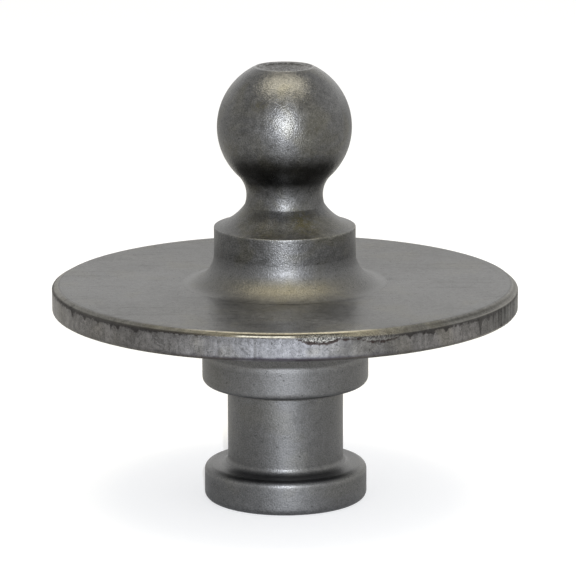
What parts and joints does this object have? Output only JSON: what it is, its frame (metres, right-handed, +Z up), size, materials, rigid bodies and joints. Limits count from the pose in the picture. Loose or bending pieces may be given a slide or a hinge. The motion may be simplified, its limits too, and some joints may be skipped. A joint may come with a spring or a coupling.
{
  "type": "gooseneck hitch ball",
  "caption": "Gooseneck tow ball above a round flange plate, with a fifth-wheel king pin below it, so that a fifth-wheel hitch can carry a ball coupler.",
  "frame": {"origin": "centre of the flat foot of the king pin, on which the part stands", "axes": "+Z up the common axis of pin, plate and ball; X and Y lie in the plane of the foot, and the part is round about Z"},
  "size_m": [0.204, 0.204, 0.1925],
  "materials": {
    "stud_steel": "bare turned and blasted steel, satin, with a thin film of oil",
    "plate_steel": "bare steel, satin on the faces, with dark scale and trimming streaks round the rim",
    "pin_steel": "bare turned and blasted steel, satin",
    "weld_metal": "weld metal dressed to a smooth satin fillet"
  },
  "bodies": {
    "root": {"ball_stud": "stud_steel", "flange_plate": "plate_steel", "king_pin": "pin_steel", "shoulder_weld": "weld_metal", "collar_weld": "weld_metal"}
  },
  "joints": []
}
